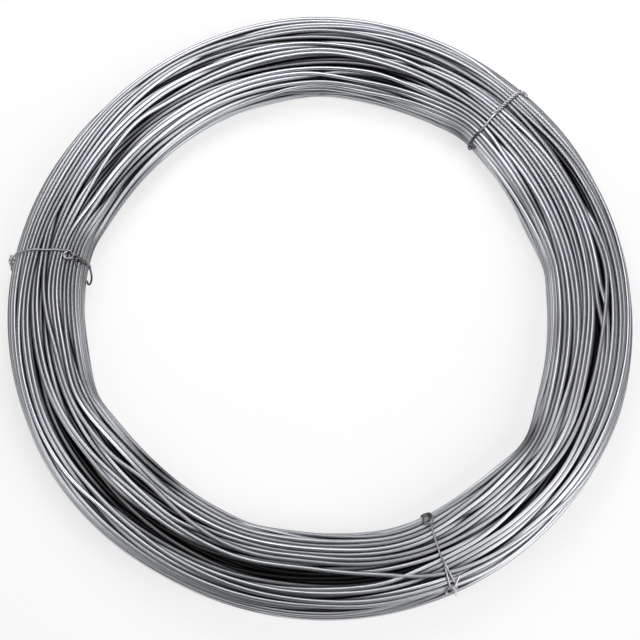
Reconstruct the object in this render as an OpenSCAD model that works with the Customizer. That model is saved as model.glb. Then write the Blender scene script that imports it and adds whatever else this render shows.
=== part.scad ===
// Coil of galvanised steel wire, lying flat and held by three wire ties.
// The wound bundle is one turned solid: its outermost turns stand out as ridges all round the
// section, and its eye is the bore of the drum that it was wound on. Each tie is one length of
// thin wire that bites a narrow waist into the bundle and ends in a twisted tail.
// Millimetres. The origin is the centre of the eye on the floor, with +Z up along the eye.

/* [Wire] */
// Diameter of the coiled wire
wire_d = 2.5; // [1.6:0.1:4]
// Gap between neighbouring turns
turn_gap = 0.2; // [0.1:0.05:0.4]

/* [Coil] */
// Clear diameter of the eye
eye_d = 268; // [160:1:600]
// Turns side by side in the widest layer
turns_across = 18; // [12:1:30]
// Layers of turns from the floor to the top
layers = 13; // [9:2:21]
// Turns by which the crown falls back from the widest layer to the top and bottom ones
crown_fall = 6; // [3:1:8]
// Depth of the flats rubbed on the turns that bear on the drum and on the floor
bearing_flat = 0.05; // [0.03:0.01:0.1]

/* [Ties] */
// Diameter of the tie wire
tie_d = 1.2; // [0.8:0.1:1.6]
// Clearance of a tie from the turns beside it and from the floor
tie_clearance = 0.1; // [0.05:0.05:0.2]
// Depth to which a tie's waist cuts into the filled core
waist_bite = 0.3; // [0.2:0.05:0.5]
// Length of the twisted tail of a tie
tail_length = 9; // [6:0.5:14]
// Length of the tail in which its two ends go once round each other
tail_lay = 4; // [3:0.5:6]
// Azimuth of the left tie
tie_left_angle = 172; // [140:1:190]
// Azimuth of the back right tie
tie_back_right_angle = 46; // [30:1:70]
// Azimuth of the front right tie
tie_front_right_angle = 294; // [270:1:320]

/* [Hidden] */
$fn = 96;

wire_colour = [0.62, 0.64, 0.66];
tie_colour = [0.38, 0.39, 0.40];

// Lattice of turns: a turn is placed by its layer and by its column, counted in pitches from the eye
pitch = wire_d + turn_gap;
layer_rise = pitch * sqrt(3) / 2;
middle = (layers - 1) / 2;
crown_power = 2.5;
eye_r = eye_d / 2;
first_r = eye_r + wire_d / 2 - bearing_flat;
first_z = wire_d / 2 - bearing_flat;
coil_h = 2 * first_z + (layers - 1) * layer_rise;
coil_r = first_r + (turns_across - 1) * pitch + wire_d / 2;

// Each second layer nests half a pitch further out, and the end layers are rounded off by a pitch
function is_end(i) = i == 0 || i == layers - 1;
function first_column(i) = abs(i - middle) % 2 / 2 + (is_end(i) ? 1 : 0);
function crown_limit(i) = turns_across - 1 - crown_fall * pow(abs(i - middle) / middle, crown_power);
function last_column(i) = first_column(i) + floor(crown_limit(i) - first_column(i));
function turn_at(i, column) = [first_r + column * pitch, first_z + i * layer_rise];

// The turns of a layer that the next layer towards the nearer end face leaves bare, from the eye out
function bare_from(i) =
    is_end(i) ? first_column(i)
    : min(last_column(i), last_column(i < middle ? i - 1 : i + 1) + 0.5);
function bare_turns(i) = [for (column = [bare_from(i):1:last_column(i)]) turn_at(i, column)];
function backwards(list) = [for (k = [len(list) - 1:-1:0]) list[k]];

// All turns that show on the section's outline, anticlockwise from the bottom layer
rim_turns = [
    for (i = [0:middle]) each bare_turns(i),
    for (i = [middle + 1:layers - 1]) each backwards(bare_turns(i)),
    for (i = [layers - 2:-1:1]) turn_at(i, first_column(i))
];

// Convex outline round the turns' centres, which a taut tie follows
function cross2(a, b) = a.x * b.y - a.y * b.x;
function taut(points, k = 0, kept = []) =
    let (n = len(kept))
    k == len(points) ? kept
    : n > 1 && cross2(kept[n - 1] - kept[n - 2], points[k] - kept[n - 1]) <= 0.001
        ? taut(points, k, [for (j = [0:n - 2]) kept[j]])
        : taut(points, k + 1, [each kept, points[k]]);
outer_side = taut([for (i = [0:layers - 1]) turn_at(i, last_column(i))]);
eye_side = taut([for (i = [layers - 1:-1:0]) turn_at(i, first_column(i))]);
taut_outline = [each outer_side, each eye_side];

// Floor of the waist that a tie bites into the bundle, deep enough to sink the tie below the turns
waist_depth = tie_d + 2 * tie_clearance + bearing_flat;
function unit(v) = v / norm(v);
function outward(points, k) =
    let (edge = unit(points[(k + 1) % len(points)] - points[k]))
    [edge.y, -edge.x];
function grown(points, by) = [
    for (k = [0:len(points) - 1])
        let (a = outward(points, (k + len(points) - 1) % len(points)), b = outward(points, k))
        points[k] + by * (a + b) / (1 + a * b)
];
waist_level = wire_d / 2 - waist_depth;
waist_floor = grown(taut_outline, waist_level);
waist_angle = (tie_d + 2 * tie_clearance) / eye_r * 180 / PI;

// A tie's line round the waist, rounding each corner of the floor at a constant distance
tie_offset = tie_clearance + tie_d / 2;
corner_steps = 3;
function corner_arc(k) =
    let (
        a = outward(waist_floor, (k + len(waist_floor) - 1) % len(waist_floor)),
        b = outward(waist_floor, k),
        start = atan2(a.y, a.x),
        turn = acos(a * b)
    )
    [for (s = [0:corner_steps])
        let (angle = start + turn * s / corner_steps)
        waist_floor[k] + tie_offset * [cos(angle), sin(angle)]];

// The tail springs from the middle of the upper shoulder, where the loop's two ends rise and meet
tail_corner = len(outer_side) - 2;
tail_edge = waist_floor[tail_corner + 1] - waist_floor[tail_corner];
tail_along = unit(tail_edge);
tail_out = outward(waist_floor, tail_corner);
tail_seat = waist_floor[tail_corner] + tail_edge / 2 + tie_offset * tail_out;
tail_rise_from = 0.42 * norm(tail_edge);
twist_r = tie_d / 2 + tie_clearance / 2;
twist_height = waist_depth - tie_offset + tie_clearance + twist_r + tie_d / 2;
twist_start = 2 * tie_d;
twist_steps = 24;
rise_steps = 7;

// A point of the tail: along the shoulder, round the coil, and out from the loop's own line
function tail_point(along, round, out) =
    let (
        flat = tail_seat + along * tail_along + out * tail_out,
        angle = round / tail_seat.x * 180 / PI
    )
    [flat.x * cos(angle), flat.x * sin(angle), flat.y];

// One end of the loop leaves the waist and turns to run along the coil; side is 1 or -1
function rising_end(side) = [
    for (k = [0:rise_steps - 1])
        let (
            t = k / rise_steps,
            late = 3 * (1 - t) * t * t + t * t * t,
            run = pow(1 - t, 3) + 1.5 * pow(1 - t, 2) * t
        )
        tail_point(side * (run * tail_rise_from + late * twist_r), pow(t, 3) * twist_start, late * twist_height)
];

// The same end then winds round the other, easing into the twist
function twisted_end(side) = [
    for (k = [0:twist_steps])
        let (
            run = (tail_length - twist_start) * k / twist_steps,
            angle = 360 * run * run / (run + tail_lay / 4) / tail_lay
        )
        tail_point(side * twist_r * cos(angle), twist_start + run, twist_height + side * twist_r * sin(angle))
];

// The whole tie from tail tip to tail tip, in the plane of azimuth 0
corner_count = len(waist_floor);
tie_loop = [
    for (k = [1:corner_count])
        each [for (p = corner_arc((tail_corner + k) % corner_count)) [p.x, 0, p.y]]
];
tie_path = [
    each backwards(twisted_end(1)),
    each backwards(rising_end(1)),
    each tie_loop,
    each rising_end(-1),
    each twisted_end(-1)
];

// Round bar along a path, as one closed polyhedron; the section's frame is carried on without twisting
tube_sides = 8;
function heading(path, k) = unit(path[min(k + 1, len(path) - 1)] - path[max(k - 1, 0)]);
function carried(path, k = 0, frames = []) =
    k == len(path) ? frames
    : let (
        ahead = heading(path, k),
        before = k == 0 ? cross(ahead, [0.3, 0.5, 0.8]) : frames[k - 1],
        side = unit(before - (before * ahead) * ahead)
    )
    carried(path, k + 1, [each frames, side]);

module round_bar(path, d) {
    sides = carried(path);
    n = tube_sides;
    rings = len(path);
    points = [
        for (k = [0:rings - 1], s = [0:n - 1])
            let (angle = 360 * s / n)
            path[k] + d / 2 * (cos(angle) * sides[k] + sin(angle) * cross(heading(path, k), sides[k]))
    ];
    walls = [
        for (k = [0:rings - 2], s = [0:n - 1])
            let (a = k * n + s, b = k * n + (s + 1) % n)
            each [[a, a + n, b + n], [a, b + n, b]]
    ];
    ends = [[for (s = [0:n - 1]) s], [for (s = [n - 1:-1:0]) (rings - 1) * n + s]];
    polyhedron(points, concat(walls, ends));
}

// Section of the bundle: the rim turns on a filled core, with flats where they bear
module bundle_section() {
    intersection() {
        union() {
            polygon(grown(rim_turns, waist_level + waist_bite));
            for (p = rim_turns) translate(p) circle(d = wire_d);
        }
        translate([eye_r, 0]) square([coil_r - eye_r + wire_d, coil_h]);
    }
}

// What a tie takes out of the section at its waist
module waist_section() {
    difference() {
        translate([eye_r - wire_d, -wire_d]) square([coil_r - eye_r + 2 * wire_d, coil_h + 2 * wire_d]);
        polygon(waist_floor);
    }
}

module coil() {
    color(wire_colour)
    difference() {
        rotate_extrude() bundle_section();
        for (angle = [tie_left_angle, tie_back_right_angle, tie_front_right_angle])
            rotate(angle - waist_angle / 2) rotate_extrude(angle = waist_angle) waist_section();
    }
}

module tie_wire(angle) {
    color(tie_colour) rotate(angle) round_bar(tie_path, tie_d);
}

module tie_left() { tie_wire(tie_left_angle); }
module tie_back_right() { tie_wire(tie_back_right_angle); }
module tie_front_right() { tie_wire(tie_front_right_angle); }

coil();
tie_left();
tie_back_right();
tie_front_right();
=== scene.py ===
"""Coil of bright galvanised steel wire, lying flat and held by three wire ties."""
import math

import bmesh
import bpy
import numpy as np
from mathutils import Matrix, Vector


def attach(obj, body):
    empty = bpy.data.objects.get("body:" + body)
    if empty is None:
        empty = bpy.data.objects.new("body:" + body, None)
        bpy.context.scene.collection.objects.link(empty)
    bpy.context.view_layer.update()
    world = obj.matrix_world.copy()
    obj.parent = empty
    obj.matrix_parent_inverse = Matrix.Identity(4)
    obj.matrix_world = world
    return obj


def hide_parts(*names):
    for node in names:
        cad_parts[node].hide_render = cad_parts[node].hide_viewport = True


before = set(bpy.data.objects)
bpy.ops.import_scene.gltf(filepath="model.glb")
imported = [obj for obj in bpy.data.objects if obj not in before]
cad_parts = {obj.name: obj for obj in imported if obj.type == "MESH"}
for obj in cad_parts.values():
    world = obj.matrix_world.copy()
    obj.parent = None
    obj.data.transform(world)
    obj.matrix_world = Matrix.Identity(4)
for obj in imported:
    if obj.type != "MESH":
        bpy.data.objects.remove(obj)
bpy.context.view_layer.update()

# Sizes in millimetres; azimuths in degrees round the eye, seen from above
MM = 0.001
WIRE_D = 2.5
WIRE_SIDES = 8
TIE_D = 1.2
TIE_SIDES = 10
BUNDLE_MID_Z = 14.7
BUNDLE_HALF_H = 13.4
WAIST_DROP = 2.2
WAIST_SPREAD = 20.0
TIE_LEFT, TIE_BACK_RIGHT, TIE_FRONT_RIGHT = 172.0, 46.0, 294.0

# The bundle is drawn out of round by its ties: radius of its eye and of its outer side
EYE_KNOTS = [
    (6, 134.0), (16, 130.0), (24, 126.8), (36, 129.2), (49, 133.6), (58, 131.2), (69, 127.6),
    (88, 131.0), (105, 128.6), (124, 128.8), (143, 125.6), (153, 127.6), (167, 136.6), (194, 136.4),
    (206, 138.4), (218, 130.6), (231, 126.8), (244, 133.0), (256, 136.0), (267, 133.2), (282, 138.3),
    (291, 139.6), (312, 139.0), (324, 143.2), (335, 136.4), (351, 130.0),
]
OUTER_KNOTS = [
    (0, 181.4), (48, 180.3), (70, 181.5), (95, 182.0), (120, 179.9), (142, 178.1), (167, 179.4),
    (180, 180.5), (200, 180.7), (218, 182.0), (245, 180.4), (270, 182.2), (296, 183.5),
    (320, 184.0), (333, 184.2), (350, 182.3),
]

# How the turns are laid: radial layers from the eye outwards, each wound up or down the bundle
LAYERS = 19
TURNS_IN_MIDDLE_LAYER = 10.4
LEAST_TURNS_IN_LAYER = 3
END_LAYER_FILL = 0.97
SECTION_POWER = 2.9
STATIONS = 240
COIL_LENGTHS = ["coil_turns_at_eye", "coil_turns_inner", "coil_turns_outer", "coil_turns_outside"]

# How far the wire wanders from its place: period in turns, and share of the section's half size
WINDING_SEED = 7
WANDERS = [(0.5, 0.36), (0.25, 0.18)]

# How the turns settle: rounds of pushing apart, and passes in each that even out the wire's bends
LAYING = (90, 3)
LOOSENING = (45, 2)
FINE_SETTLING = (36, 2)
LAST_EASING = 3
PUSH_APART = 0.42
DRAW_BACK = 0.6
HOME_PULL, LOOSE_PULL = 0.03, 0.3
LEAST_REACH = 1e-3
TINY = 1e-6

# Where the turns part and leave a dark gap on top: azimuth from and to, place across the section
# (-1 at the eye, 1 at the outer side) at either end, and half width
PARTINGS = [
    (246, 288, 0.00, 0.20, 3.6),
    (206, 244, -0.52, -0.18, 2.1),
    (198, 228, 0.15, 0.20, 1.9),
    (334, 378, -0.02, 0.42, 2.1),
    (10, 36, 0.46, 0.50, 2.4),
    (122, 162, 0.05, -0.45, 2.0),
    (140, 164, -0.80, -0.85, 1.6),
    (62, 92, -0.80, -0.70, 1.6),
    (78, 108, -0.30, -0.35, 1.8),
    (300, 330, 0.25, 0.10, 1.6),
]
PARTING_UP = 0.92
PARTING_TAPER = 0.7
PARTING_PUSH = 0.5

# The last three turns lie loose on top and cross the others: degrees from the start of the last but
# one, place across and up the section
LOOSE_TURNS = 3
LAST_TURNS = [
    (-230, 0.34, 0.98), (-205, 0.14, 1.04), (-190, 0.06, 1.06), (-182, 0.00, 1.07), (-174, -0.16, 1.07),
    (-166, -0.38, 1.06), (-156, -0.44, 1.04), (-130, -0.40, 1.02), (-100, -0.30, 1.02), (-72, -0.20, 1.03),
    (-35, 0.00, 1.05), (-10, 0.27, 1.06), (0, 0.36, 1.06), (12, 0.40, 1.05), (22, 0.34, 1.05),
    (60, 0.38, 1.02), (100, 0.50, 1.02), (125, 0.57, 1.04), (137, 0.57, 1.04), (144, 0.52, 1.05),
    (150, 0.42, 1.05), (158, 0.34, 1.05), (200, 0.46, 1.02), (260, 0.62, 0.96), (320, 0.84, 0.72),
    (360, 0.95, 0.35), (420, 0.80, 0.75), (480, 0.48, 1.00), (540, 0.15, 1.06), (585, -0.05, 1.06),
    (607, -0.11, 1.06), (623, -0.13, 1.06), (631, -0.09, 1.06), (642, 0.13, 1.06), (648, 0.38, 1.05),
    (655, 0.63, 1.00), (662, 0.76, 0.94), (680, 0.90, 0.72), (700, 0.98, 0.20), (719, 0.98, -0.40),
]
LEAD_IN = 40

# Painted shade among the turns: how crowded and how far sunk a spot is, and the eye's wall, left mostly
# unshaded
CROWD_REACH = 3.2
CROWD_OPEN, CROWD_CLOSED = 2.4, 4.2
SUNK_START, SUNK_CLOSED = 0.2, 3.5
EYE_WALL_FROM, EYE_WALL_FADE = 0.7, 0.12
EYE_WALL_TOP, EYE_WALL_TOP_FADE = 0.9, 0.2
EYE_WALL_SHADE_LIFT = 0.85

# Each turn has a tone, half of it its own and half shared by a few turns in a row
TONE_SEED = 11
TURNS_ALIKE = 3

# Ties: distance of the taut line from the turns' centres, radius of a twist, and fineness of the lines
TIE_CLEARANCE, STRAND_CLEARANCE = 0.05, 0.03
TIE_SEAT = WIRE_D / 2 + TIE_D / 2 + TIE_CLEARANCE
TWIST_R = TIE_D / 2 + STRAND_CLEARANCE
TIE_STEP = 0.5
TIE_EASING = 2
CORNER_POINTS = 6
CURL_POINTS = 22
TWIST_POINTS = 14
KNOT_POINTS = (0.4, 1.5, 1.5)
LEAST_KNOT_POINTS = 4

# Finishes: tint of the zinc, and where along the radius the ties' painted shade at the eye fades out
ZINC_TINT = (0.965, 0.99, 1.04)
TIE_SHADE_FADE_START, TIE_SHADE_FADE_END = 138, 152

# Studio: floor and lighting levels, and the camera with its picture measured in pixels
FLOOR_SIZE = 12
FLOOR_GREY = 0.42
FLOOR_GLOW = 0.66
WORLD_LIGHT = 0.035
AIM = Vector((0.7, -2.5, 14.3)) * MM
VIEW_TILT = math.radians(16.8)
VIEW_DISTANCE = 0.642
SENSOR = 36
PICTURE_PX = 640
FOCAL_PX = 1100
CENTRE_UP_PX = 20


# Lines
def smooth_between(s, before, here, there, after):
    """A smooth curve from here at s = 0 to there at s = 1, leaning as its neighbours lie."""
    lean_here, lean_there = (there - before) / 2, (after - here) / 2
    return (
        (2 * s**3 - 3 * s**2 + 1) * here + (s**3 - 2 * s**2 + s) * lean_here
        + (3 * s**2 - 2 * s**3) * there + (s**3 - s**2) * lean_there
    )


def round_the_ring(knots, azimuth):
    """A smooth closed curve through (azimuth, value) knots, read at each azimuth in degrees."""
    at = np.array([k[0] for k in knots], float)
    value = np.array([k[1] for k in knots], float)
    n = len(at)
    azimuth = azimuth % 360
    i = np.searchsorted(at, azimuth, side="right") - 1
    before, here, there, after = (i - 1) % n, i % n, (i + 1) % n, (i + 2) % n
    s = ((azimuth - at[here]) % 360) / ((at[there] - at[here]) % 360)
    return smooth_between(s, value[before], value[here], value[there], value[after])


def apart(a, b):
    """Degrees between two azimuths."""
    return np.abs((a - b + 180) % 360 - 180)


def eased(line, passes):
    """The same line with its bends evened out."""
    for _ in range(passes):
        evened = line.copy()
        evened[1:-1] = 0.25 * line[:-2] + 0.5 * line[1:-1] + 0.25 * line[2:]
        line = evened
    return line


def length_along(path):
    """Length of a line up to each of its points."""
    return np.concatenate([[0], np.cumsum(np.sqrt((np.diff(path, axis=0) ** 2).sum(1)))])


def even_steps(path, step):
    """The same line at even steps, with its corners eased."""
    path = np.array(path)
    length = length_along(path)
    spots = np.linspace(0, length[-1], int(length[-1] / step))
    return eased(np.stack([np.interp(spots, length, path[:, k]) for k in range(3)], -1), TIE_EASING)


def ring_points(r_z, azimuth):
    """Points in metres from radius and height at azimuths in degrees."""
    turn = np.radians(azimuth)
    return MM * np.stack([r_z[:, 0] * np.cos(turn), r_z[:, 0] * np.sin(turn), r_z[:, 1]], -1)


def round_bar(name, path, diameter, sides):
    """Round wire along a path, as one closed mesh."""
    curve = bpy.data.curves.new(name, "CURVE")
    curve.dimensions = "3D"
    curve.bevel_depth = diameter / 2 * MM
    curve.bevel_resolution = (sides - 4) // 2
    spline = curve.splines.new("POLY")
    spline.points.add(len(path) - 1)
    spline.points.foreach_set("co", np.column_stack([path, np.ones(len(path))]).ravel())
    former = bpy.data.objects.new(name, curve)
    bpy.context.scene.collection.objects.link(former)
    mesh = bpy.data.meshes.new_from_object(former.evaluated_get(bpy.context.evaluated_depsgraph_get()))
    bpy.data.objects.remove(former)
    bpy.data.curves.remove(curve)
    mesh.name = name
    shell = bmesh.new()
    shell.from_mesh(mesh)
    bmesh.ops.holes_fill(shell, edges=[e for e in shell.edges if e.is_boundary], sides=0)
    shell.to_mesh(mesh)
    shell.free()
    mesh.shade_smooth()
    bar = bpy.data.objects.new(name, mesh)
    bpy.context.scene.collection.objects.link(bar)
    return bar


# Winding the wire
class Section:
    """The bundle's outline at each station: middle and half sizes for the wire's centre."""

    def __init__(self, stations):
        self.azimuth = 360.0 * np.arange(stations) / stations
        eye = round_the_ring(EYE_KNOTS, self.azimuth)
        outer = round_the_ring(OUTER_KNOTS, self.azimuth)
        pull = sum(
            np.exp(-(apart(self.azimuth, tie) / WAIST_SPREAD) ** 2)
            for tie in (TIE_LEFT, TIE_BACK_RIGHT, TIE_FRONT_RIGHT)
        )
        self.mid_r = ((eye + outer) / 2).astype(np.float32)
        self.half_w = ((outer - eye) / 2 - WIRE_D / 2).astype(np.float32)
        self.half_h = (BUNDLE_HALF_H - WAIST_DROP * pull).astype(np.float32)

    def place(self, across, up):
        """Millimetres from fractions of the section; arrays of turns by stations."""
        return np.stack([self.mid_r + across * self.half_w, BUNDLE_MID_Z + up * self.half_h], -1)

    def part(self, x):
        """Opens the partings: turns in them are pushed out towards their edges."""
        for start, end, across_start, across_end, half_gap in PARTINGS:
            s = ((self.azimuth - start) % 360) / (end - start)
            here = s < 1
            s = s[here].astype(np.float32)
            gap = half_gap * np.sin(np.pi * s) ** PARTING_TAPER
            axis = self.mid_r[here] + (across_start + (across_end - across_start) * s) * self.half_w[here]
            off = x[:, here] - np.stack([axis, BUNDLE_MID_Z + self.half_h[here] * PARTING_UP], -1)
            reach = np.sqrt((off * off).sum(-1)) + TINY
            push = PARTING_PUSH * np.maximum(gap + WIRE_D / 2 - reach, 0) / reach
            x[:, here] += push[..., None] * off
        return x

    def within(self, x, at=slice(None)):
        """Place across and up the section, and how far out that is, 1 being the outline."""
        across = (x[..., 0] - self.mid_r[at]) / self.half_w[at]
        up = (x[..., 1] - BUNDLE_MID_Z) / self.half_h[at]
        reach = (np.abs(across) ** SECTION_POWER + np.abs(up) ** SECTION_POWER) ** (1 / SECTION_POWER)
        return across, up, np.maximum(reach, LEAST_REACH)

    def depth(self, x, at):
        """Millimetres in from the outline through the outermost turns' centres."""
        reach = self.within(x, at)[2]
        return (1 / reach - 1) * np.hypot(x[..., 0] - self.mid_r[at], x[..., 1] - BUNDLE_MID_Z)

    def hold(self, x):
        """Draws back whatever stands out of the bundle, and keeps it on the floor."""
        across, up, reach = self.within(x)
        keep = 1 - DRAW_BACK * np.maximum(1 - 1 / reach, 0)
        x = self.place(across * keep, up * keep)
        x[..., 1] = np.maximum(x[..., 1], WIRE_D / 2)
        return x


def turn_homes():
    """Where each turn would lie in a tidy section, in the order in which the wire is wound."""
    homes = []
    for layer in range(LAYERS):
        across = 2 * layer / (LAYERS - 1) - 1
        reach = (1 - abs(across * END_LAYER_FILL) ** SECTION_POWER) ** (1 / SECTION_POWER)
        count = max(LEAST_TURNS_IN_LAYER, round(TURNS_IN_MIDDLE_LAYER * reach))
        rows = np.linspace(-reach, reach, count)
        homes += [(across, up) for up in (rows if layer % 2 == 0 else rows[::-1])]
    return np.array(homes)


def drift(rng, length, period, size):
    """A smooth random wander along the wire; length and period are in turns."""
    marks = rng.normal(0, size, (int(length.max() / period) + 3, 2))
    spot = length / period
    i = spot.astype(int)
    s = (spot - i)[:, None]
    s = s * s * (3 - 2 * s)
    return marks[i] * (1 - s) + marks[i + 1] * s


def ease_along(x, passes):
    """Evens out the bends of the wire, which runs on from each turn to the next."""
    return eased(x.reshape(-1, 2), passes).reshape(x.shape)


def settle(x, section, rounds, passes, home, pull):
    """Pushes overlapping turns apart at every station, round by round."""
    itself = np.arange(len(x))
    for _ in range(rounds):
        x = x + pull * (home - x)
        gap = x[:, None] - x[None, :]
        reach = np.sqrt((gap * gap).sum(-1)) + TINY
        push = PUSH_APART * np.maximum(WIRE_D - reach, 0) / reach
        push[itself, itself] = 0
        x = x + (push[..., None] * gap).sum(axis=1)
        x = section.hold(ease_along(section.part(x), passes))
    return x


def finer(x):
    """The same wire at twice as many stations."""
    wire = x.reshape(-1, 2)
    spots = np.arange(2 * len(wire)) / 2
    between = [np.interp(spots, np.arange(len(wire)), wire[:, k]) for k in (0, 1)]
    return np.stack(between, -1).reshape(len(x), -1, 2).astype(np.float32)


def wind_wire():
    """Centre line of the whole wire as turns by stations, in radius and height."""
    rng = np.random.default_rng(WINDING_SEED)
    homes = turn_homes()
    turns = len(homes)
    section = Section(STATIONS // 2)
    stations = len(section.azimuth)
    length = np.arange(turns * stations) / stations
    turn = length.astype(int)
    climb = (length - turn)[:, None]
    tidy = homes[turn] * (1 - climb) + homes[np.minimum(turn + 1, turns - 1)] * climb
    loose = sum(drift(rng, length, period, size) for period, size in WANDERS)
    spot = (tidy + loose).reshape(turns, stations, 2)
    at, *places = zip(*LAST_TURNS)
    last = 360.0 / stations * np.arange(stations * at[0] // 360, 2 * stations)
    lead_in = np.clip((last - at[0]) / LEAD_IN, 0, 1)
    ends = spot.reshape(-1, 2)[-len(last):]
    for k in (0, 1):
        ends[:, k] += lead_in * (np.interp(last, at, places[k]) - ends[:, k])
    home = section.place(*np.moveaxis(spot.astype(np.float32), -1, 0))
    pull = np.full((turns, 1, 1), HOME_PULL, np.float32)
    pull[-LOOSE_TURNS:] = LOOSE_PULL
    x = settle(home, section, *LAYING, home, pull)
    pull[:-LOOSE_TURNS] = 0
    x = settle(x, section, *LOOSENING, home, pull)
    section = Section(STATIONS)
    x = settle(finer(x), section, *FINE_SETTLING, finer(home), pull)
    return section.hold(ease_along(x, LAST_EASING))


def painted_shade_among_turns(piece, wire, first_ring):
    """Painted shade at each point of the wire's surface, by depth among the turns: 0 in the open, 1 inside.
    """
    spots = np.empty(len(piece.data.vertices) * 3, np.float32)
    piece.data.vertices.foreach_get("co", spots)
    spots = spots.reshape(-1, WIRE_SIDES, 3).swapaxes(0, 1) / MM
    r_z = np.stack([np.hypot(spots[..., 0], spots[..., 1]), spots[..., 2]], -1)
    station = (np.arange(r_z.shape[1]) + first_ring) % STATIONS
    crowd = np.zeros(r_z.shape[:2], np.float32)
    for turn in wire:
        off = r_z - turn[station]
        crowd += np.exp(-(off * off).sum(-1) / CROWD_REACH**2)
    crowded = (crowd - CROWD_OPEN) / (CROWD_CLOSED - CROWD_OPEN)
    section = Section(STATIONS)
    across, up, _ = section.within(r_z, station)
    # painted shade by crowding and depth, mostly lifted on the eye's own wall
    eye_wall = np.clip((-across - EYE_WALL_FROM) / EYE_WALL_FADE, 0, 1)
    eye_wall = eye_wall * np.clip((EYE_WALL_TOP - np.abs(up)) / EYE_WALL_TOP_FADE, 0, 1)
    sunk = (section.depth(r_z, station) + SUNK_START) / SUNK_CLOSED * (1 - EYE_WALL_SHADE_LIFT * eye_wall)
    return np.clip(np.maximum(crowded, sunk), 0, 1).T.ravel()


def turn_tones(turns):
    """A tone between 0 and 1 for each turn."""
    rng = np.random.default_rng(TONE_SEED)
    own = rng.uniform(0, 1, turns + 1)
    shared = np.repeat(rng.uniform(0, 1, turns // TURNS_ALIKE + 1), TURNS_ALIKE)[:turns + 1]
    return 0.5 * own + 0.5 * shared


# Finishes
class Tone:
    """A shader value; sums on it add Math nodes."""

    def __init__(self, finish, socket):
        self.finish, self.socket = finish, socket

    def maths(self, operation, *values):
        return self.finish.node("ShaderNodeMath", {"operation": operation}, dict(enumerate(values)))

    def __add__(self, other):
        return self.maths("ADD", self, other)

    def __radd__(self, other):
        return self.maths("ADD", other, self)

    def __sub__(self, other):
        return self.maths("SUBTRACT", self, other)

    def __rsub__(self, other):
        return self.maths("SUBTRACT", other, self)

    def __mul__(self, other):
        return self.maths("MULTIPLY", self, other)

    def __rmul__(self, other):
        return self.maths("MULTIPLY", other, self)


class Finish:
    """A material and the nodes that make it."""

    def __init__(self, name):
        self.material = bpy.data.materials.new(name)
        self.material.use_nodes = True
        self.tree = self.material.node_tree
        self.tree.nodes.clear()

    def node(self, kind, settings=None, inputs=None, out=0):
        """Adds a node, with its settings first and then the values or links of its sockets."""
        made = self.tree.nodes.new(kind)
        for name, value in (settings or {}).items():
            setattr(made, name, value)
        for name, value in (inputs or {}).items():
            if isinstance(value, Tone):
                self.tree.links.new(value.socket, made.inputs[name])
            else:
                made.inputs[name].default_value = value
        return Tone(self, made.outputs[out]) if made.outputs else None

    def done(self, shader):
        self.node("ShaderNodeOutputMaterial", {}, {"Surface": shader})
        return self.material


def zinc_wire():
    """Satin zinc: drawn lines along the wire, patches, a tone for each turn, and painted shade among the
    turns.
    """
    finish = Finish("zinc_wire")
    tone = finish.node("ShaderNodeAttribute", {"attribute_name": "tone"}, out="Fac")
    painted_shade = finish.node("ShaderNodeAttribute", {"attribute_name": "painted_shade"}, out="Fac")
    lay = finish.node("ShaderNodeAttribute", {"attribute_name": "lay"}, out="Vector")
    place = finish.node("ShaderNodeTexCoord", out="Object")

    def streaks(along, around, detail):
        spot = finish.node(
            "ShaderNodeVectorMath", {"operation": "MULTIPLY"}, {0: lay, 1: (along, around, around)}
        )
        return finish.node("ShaderNodeTexNoise", {}, {"Vector": spot, "Scale": 1.0, "Detail": detail})

    die_lines = streaks(30.0, 3.2, 3.0)
    patches = streaks(9.0, 0.6, 2.0)
    frost = finish.node("ShaderNodeTexNoise", {}, {"Vector": place, "Scale": 900.0, "Detail": 2.0})
    level = 0.04 + 0.64 * tone + 0.3 * patches + 0.16 * die_lines + 0.06 * frost
    # painted shade: the base colour is darkened where the wire lies deep among other turns
    level = level * (1 - 0.93 * painted_shade)
    colour = finish.node("ShaderNodeCombineColor", {}, {k: level * tint for k, tint in enumerate(ZINC_TINT)})
    roughness = 0.34 - 0.22 * tone + 0.1 * die_lines + 0.1 * patches + 0.05 * frost + 0.1 * painted_shade
    relief = finish.node(
        "ShaderNodeBump", {}, {"Strength": 0.25, "Distance": 0.0001, "Height": die_lines + 0.3 * frost}
    )
    shader = finish.node(
        "ShaderNodeBsdfPrincipled", {},
        {"Base Color": colour, "Roughness": roughness, "Metallic": 1.0, "Normal": relief},
    )
    return finish.done(shader)


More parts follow.
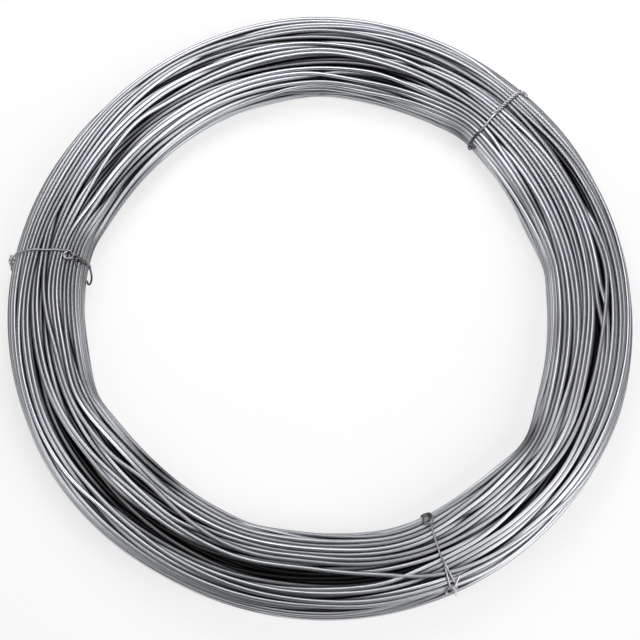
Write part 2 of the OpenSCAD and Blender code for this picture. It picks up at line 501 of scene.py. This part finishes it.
def tie_steel():
    """Dull annealed steel, with painted shade where it runs into the eye, lighter out on the bundle."""
    finish = Finish("tie_steel")
    place = finish.node("ShaderNodeTexCoord", out="Object")
    flat = finish.node("ShaderNodeVectorMath", {"operation": "MULTIPLY"}, {0: place, 1: (1, 1, 0)})
    reach = finish.node("ShaderNodeVectorMath", {"operation": "LENGTH"}, {0: flat}, out="Value")
    clear_of_painted_shade = finish.node(
        "ShaderNodeMapRange", {"interpolation_type": "SMOOTHSTEP"},
        {
            "Value": reach, "From Min": TIE_SHADE_FADE_START * MM, "From Max": TIE_SHADE_FADE_END * MM,
            "To Min": 0.0, "To Max": 1.0,
        },
    )
    frost = finish.node("ShaderNodeTexNoise", {}, {"Vector": place, "Scale": 700.0, "Detail": 3.0})
    stain = finish.node("ShaderNodeTexNoise", {}, {"Vector": place, "Scale": 90.0, "Detail": 2.0})
    # painted shade: the tie's colour is darker towards the eye and lighter out on the bundle
    level = (0.16 + 0.48 * clear_of_painted_shade) * (0.6 + 0.5 * stain + 0.3 * frost)
    colour = finish.node("ShaderNodeCombineColor", {}, {0: level, 1: level, 2: level * 1.02})
    relief = finish.node("ShaderNodeBump", {}, {"Strength": 0.3, "Distance": 0.0001, "Height": frost})
    shader = finish.node(
        "ShaderNodeBsdfPrincipled", {},
        {"Base Color": colour, "Roughness": 0.24 + 0.2 * stain, "Metallic": 1.0, "Normal": relief},
    )
    return finish.done(shader)


def pale_floor():
    """Matt grey that catches the shadow, with a glow that makes the background white."""
    finish = Finish("pale_floor")
    seen = finish.node("ShaderNodeLightPath", out="Is Camera Ray")
    seen = seen + finish.node("ShaderNodeLightPath", out="Is Glossy Ray")
    seen = seen + finish.node("ShaderNodeLightPath", out="Is Transmission Ray")
    matt = finish.node("ShaderNodeBsdfDiffuse", {}, {"Color": (FLOOR_GREY, FLOOR_GREY, FLOOR_GREY, 1)})
    glow = finish.node("ShaderNodeEmission", {}, {"Strength": FLOOR_GLOW * seen})
    return finish.done(finish.node("ShaderNodeAddShader", {}, {0: matt, 1: glow}))


# Ties: each one length of thin wire, drawn taut round the bundle and twisted to itself
def taut_outline(points):
    """Corners of the convex outline round points in a section, anticlockwise."""
    ordered = sorted(map(tuple, points))
    outline = []
    for run_of in (ordered, ordered[::-1]):
        kept = []
        for p in run_of:
            while len(kept) > 1 and (
                (kept[-1][0] - kept[-2][0]) * (p[1] - kept[-1][1])
                - (kept[-1][1] - kept[-2][1]) * (p[0] - kept[-1][0])
            ) <= 0:
                kept.pop()
            kept.append(p)
        outline += kept[:-1]
    return np.array(outline)


class Seat:
    """The taut line round the bundle at a tie, by direction in degrees from the section's middle:
    0 at the outer side, 90 on top, 180 at the eye, 270 underneath."""

    def __init__(self, wire, azimuth):
        self.azimuth = azimuth
        station = round(azimuth / 360 * STATIONS)
        near = wire[:, station - 1:station + 2].reshape(-1, 2)
        corners = taut_outline(near)
        self.middle = (corners.min(0) + corners.max(0)) / 2
        edges = np.roll(corners, -1, 0) - corners
        facing = np.degrees(np.arctan2(-edges[:, 0], edges[:, 1]))
        line, outward = [], []
        for k, corner in enumerate(corners):
            turn = (facing[k] - facing[k - 1]) % 360
            for s in np.linspace(0, 1, CORNER_POINTS):
                angle = math.radians(facing[k - 1] + s * turn)
                outward.append((math.cos(angle), math.sin(angle)))
                line.append(corner + TIE_SEAT * np.array(outward[-1]))
        line, outward = np.array(line), np.array(outward)
        off = line - self.middle
        direction = np.degrees(np.arctan2(off[:, 1], off[:, 0])) % 360
        order = np.argsort(direction)
        self.line, self.outward, self.direction = line[order], outward[order], direction[order]

    def point(self, direction, side=0.0, lift=0.0):
        """Metres, from a direction, millimetres along the coil and millimetres off the taut line."""
        r, z, out_r, out_z = (
            np.interp(direction, self.direction, values, period=360)
            for values in (*self.line.T, *self.outward.T)
        )
        reach = math.hypot(out_r, out_z)
        r, z = r + lift * out_r / reach, z + lift * out_z / reach
        turn = math.radians(self.azimuth) + side / r
        return MM * np.array([r * math.cos(turn), r * math.sin(turn), z])

    def through(self, *knots):
        """A smooth line through (direction, side, lift) knots, kept on the taut line between them."""
        knots = np.array(knots, float)
        count = len(knots)
        path = []
        for k in range(count - 1):
            before, here, there, after = (knots[min(max(k + j, 0), count - 1)] for j in (-1, 0, 1, 2))
            steps = max(LEAST_KNOT_POINTS, int(abs(there - here) @ KNOT_POINTS))
            path += [
                self.point(*smooth_between(s, before, here, there, after)) for s in np.arange(steps) / steps
            ]
        return path

    def twist(self, start, end, turns, phase, side=(0.0, 0.0), lift=(0.0, 0.0)):
        """One strand of a twisted pair that lies on the bundle from one direction to another."""
        path = []
        for s in np.linspace(0, 1, int(TWIST_POINTS * abs(turns))):
            angle = math.radians(phase) + math.tau * turns * s
            path.append(self.point(
                start + (end - start) * s,
                side[0] + (side[1] - side[0]) * s + TWIST_R * math.cos(angle),
                lift[0] + (lift[1] - lift[0]) * s + TWIST_R * (1 + math.sin(angle)),
            ))
        return path

    def curl(self, direction, side, size, start, sweep, lift=0.0, rise=1.4):
        """A loop of wire lying on the bundle; start and sweep in degrees round its own middle."""
        per_mm = 2 * MM / math.dist(self.point(direction - 1), self.point(direction + 1))
        path = []
        for s in np.linspace(0, 1, CURL_POINTS):
            angle = math.radians(start + sweep * s)
            path.append(self.point(
                direction + size * per_mm * math.cos(angle), side + size * math.sin(angle), lift + rise * s
            ))
        return path


def left_tie_line(seat):
    """A hook at the eye, a curl on top, a twisted knot at the outer side, and the other end at the eye."""
    return [
        *seat.through(
            (193, 8.4, -0.4), (193, 9.8, 0.0), (191, 10.8, 0.8), (187, 10.5, 1.8), (182, 9.0, 2.5),
            (176, 6.4, 2.7), (170, 3.2, 1.9), (163, 1.0, 0.6), (155, -0.4, 0.2), (147, -1.2, 0.2),
            (141, -1.6, 0.2),
        ),
        *seat.curl(134, -0.4, 2.4, 0, -450),
        *seat.through(
            (128, -2.7, 1.2), (120, -2.7, 0.3), (108, -2.5, 0.1), (86, -1.6, 0.1), (52, -0.7, 0.1),
            (30, 1.6, 0.2), (19, 3.4, 0.5),
        ),
        *seat.twist(16, 2, 2.5, 0, (3.8, 7.6), (0.2, 0.7)),
        *seat.through((0, 8.6, 1.2), (-3, 9.8, 0.8), (-5, 9.4, 0.0), (-3, 8.0, 0.2)),
        *seat.twist(-1, 14, -2.5, 180, (7.4, 3.8), (0.6, 0.2)),
        *seat.through(
            (14, 2.2, 1.2), (9, 3.8, 2.1), (3, 5.8, 2.2), (-4, 6.6, 1.2), (-7, 5.2, 0.3), (-8, 3.4, 0.6),
            (-2, 2.6, 1.6), (6, 3.8, 2.4), (9, 5.8, 1.9), (5, 7.4, 0.9), (-5, 6.8, 0.1), (-16, 2.2, 0.0),
            (-60, 0.0, 0.0), (-120, 0.0, 0.0), (-170, 0.0, 0.0), (-186, 0.6, 0.0), (-195, 1.2, 0.1),
        ),
        *seat.twist(-198, -212, 1.5, 90, (1.2, 0.6), (0.0, 0.0)),
        *seat.through((-213, 2.0, 0.6), (-212, 3.4, 0.2), (-209, 4.2, 0.0)),
    ]


def back_right_tie_line(seat):
    """A twisted pair along the top that ends in an eyelet at the outer side, and a curl at the eye."""
    return [
        *seat.through((110, 2.2, 0.1), (104, 1.4, 0.4)),
        *seat.twist(100, 24, 5.5, 0, (0.6, 0.2)),
        *seat.through(
            (20, -0.6, 0.7), (17, -2.0, 0.5), (16, -3.6, 0.2), (18, -4.8, 0.1), (22, -4.4, 0.2),
            (24, -2.6, 0.4), (24, -1.0, 0.8),
        ),
        *seat.twist(24, 100, -5.5, 0, (0.2, 0.6)),
        *seat.through((107, 0.6, 0.8), (118, 0.4, 0.1), (140, -0.2, 0.0), (158, 0.4, 0.1), (167, 0.6, 0.2)),
        *seat.curl(173, -1.4, 1.9, 90, -400, 0.1, 1.3),
        *seat.through(
            (183, -0.4, 0.8), (190, -0.3, 0.1), (200, 0.0, 0.0), (240, 0.0, 0.0), (300, 0.0, 0.0),
            (345, 0.0, 0.0), (362, -1.2, 0.0), (373, -2.6, 0.0), (379, -3.2, 0.9), (384, -3.4, 1.3),
        ),
    ]


def front_right_tie_line(seat):
    """A knot on the outer shoulder, a knotted curl at the eye, and an end doubled back along the top."""
    return [
        *seat.through(
            (40, 3.8, 0.3), (36, 2.0, 0.6), (32, 0.2, 1.0), (27, -2.2, 1.2), (23, -4.2, 0.8),
            (21, -5.6, 0.3), (23, -6.4, 0.1), (27, -5.8, 0.3), (31, -4.0, 0.8), (30, -2.4, 1.3),
            (25, -1.2, 1.4), (19, -1.4, 0.9), (10, -1.8, 0.2), (-6, -0.8, 0.0), (-60, 0.0, 0.0),
            (-120, 0.0, 0.0), (-170, 0.0, 0.0), (-186, 2.0, 0.1), (-196, 4.0, 0.2), (-204, 4.2, 0.3),
        ),
        *seat.curl(153, 1.2, 2.8, 60, -400, 0.3, 1.6),
        *seat.through(
            (147, 2.6, 1.4), (142, 1.6, 0.9), (136, 0.8, 0.3), (116, -0.2, 0.0), (90, -1.0, 0.0),
            (66, -1.2, 0.0), (56, -1.8, 0.0), (44, -2.6, 0.0), (34, -3.2, 0.0), (26, -3.0, 0.2),
            (22, -1.6, 0.5), (25, -0.2, 0.4), (33, -0.2, 0.0), (45, -0.6, 0.0), (57, -0.8, 0.3),
            (65, -1.0, 1.2), (70, -1.6, 1.1),
        ),
    ]


# Making the pieces
def make_coil(wire):
    """The one wire in four lengths, from the eye outwards."""
    turns = len(wire)
    run = wire.reshape(-1, 2)
    centre_line = ring_points(run, 360.0 * np.arange(len(run)) / STATIONS)
    length = length_along(centre_line)
    tone = np.interp(np.arange(len(run)) / STATIONS, np.arange(turns + 1), turn_tones(turns))
    sides = np.radians(360 * np.arange(WIRE_SIDES) / WIRE_SIDES)
    zinc = zinc_wire()
    for number, name in enumerate(COIL_LENGTHS):
        start = turns * number // len(COIL_LENGTHS) * STATIONS
        end = min(turns * (number + 1) // len(COIL_LENGTHS) * STATIONS + 1, len(run))
        piece = round_bar(name, centre_line[start:end], WIRE_D, WIRE_SIDES)
        lay = np.empty((end - start, WIRE_SIDES, 3), np.float32)
        lay[..., 0] = length[start:end, None]
        lay[..., 1], lay[..., 2] = np.cos(sides), np.sin(sides)
        piece.data.attributes.new("lay", "FLOAT_VECTOR", "POINT").data.foreach_set("vector", lay.ravel())
        tones = np.repeat(tone[start:end], WIRE_SIDES).astype(np.float32)
        piece.data.attributes.new("tone", "FLOAT", "POINT").data.foreach_set("value", tones)
        # painted shade among the turns, kept on the mesh to darken the wire's colour
        painted_shade = painted_shade_among_turns(piece, wire, start)
        piece.data.attributes.new("painted_shade", "FLOAT", "POINT").data.foreach_set("value", painted_shade)
        piece.data.materials.append(zinc)
        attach(piece, "root")
        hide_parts("coil")


def make_ties(wire):
    """The three ties, on the turns where they lie."""
    steel = tie_steel()
    for node, line in (
        ("tie_left", left_tie_line(Seat(wire, TIE_LEFT))),
        ("tie_back_right", back_right_tie_line(Seat(wire, TIE_BACK_RIGHT))),
        ("tie_front_right", front_right_tie_line(Seat(wire, TIE_FRONT_RIGHT))),
    ):
        piece = round_bar(node + "_wire", even_steps(line, TIE_STEP * MM), TIE_D, TIE_SIDES)
        piece.data.materials.append(steel)
        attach(piece, "root")
        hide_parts(node)


def soft_lamp(name, azimuth, elevation, distance, size, watts):
    """A rectangular lamp that faces the coil."""
    lamp = bpy.data.lights.new(name, "AREA")
    lamp.shape = "RECTANGLE"
    lamp.size, lamp.size_y = size
    lamp.energy = watts
    body = bpy.data.objects.new(name, lamp)
    a, e = math.radians(azimuth), math.radians(elevation)
    way = Vector((math.cos(a) * math.cos(e), math.sin(a) * math.cos(e), math.sin(e)))
    body.location = way * distance
    level = Vector((-math.sin(a), math.cos(a), 0))
    body.rotation_euler = Matrix((level.cross(way), level, way)).transposed().to_euler()
    bpy.context.scene.collection.objects.link(body)


wire = wind_wire()
make_coil(wire)
make_ties(wire)

# Studio: pale floor, soft lamps, and a camera at the photograph's angle
bpy.ops.mesh.primitive_plane_add(size=FLOOR_SIZE)
floor = bpy.context.object
floor.name = "studio_floor"
floor.data.materials.append(pale_floor())

world = bpy.data.worlds.new("studio")
bpy.context.scene.world = world
world.use_nodes = True
world.node_tree.nodes["Background"].inputs["Color"].default_value = (1, 1, 1, 1)
world.node_tree.nodes["Background"].inputs["Strength"].default_value = WORLD_LIGHT

soft_lamp("back_top_lamp", azimuth=90, elevation=56, distance=0.5, size=(0.3, 0.25), watts=0.55)
soft_lamp("back_left_lamp", azimuth=120, elevation=56, distance=0.6, size=(0.4, 0.3), watts=0.62)
soft_lamp("right_front_lamp", azimuth=326, elevation=40, distance=1.4, size=(1.2, 0.8), watts=10.6)
soft_lamp("back_right_lamp", azimuth=60, elevation=49, distance=1.4, size=(2.0, 0.6), watts=2.4)
soft_lamp("left_front_lamp", azimuth=199, elevation=46, distance=1.4, size=(1.2, 0.4), watts=3.6)

camera = bpy.data.objects.new("camera", bpy.data.cameras.new("camera"))
bpy.context.scene.collection.objects.link(camera)
bpy.context.scene.camera = camera
camera.location = AIM + VIEW_DISTANCE * Vector((0, -math.sin(VIEW_TILT), math.cos(VIEW_TILT)))
camera.rotation_euler = (VIEW_TILT, 0, 0)
camera.data.lens = SENSOR * FOCAL_PX / PICTURE_PX
camera.data.sensor_width = SENSOR
camera.data.shift_y = -CENTRE_UP_PX / PICTURE_PX
camera.data.clip_start = 0.01

bpy.context.scene.view_settings.view_transform = "Standard"
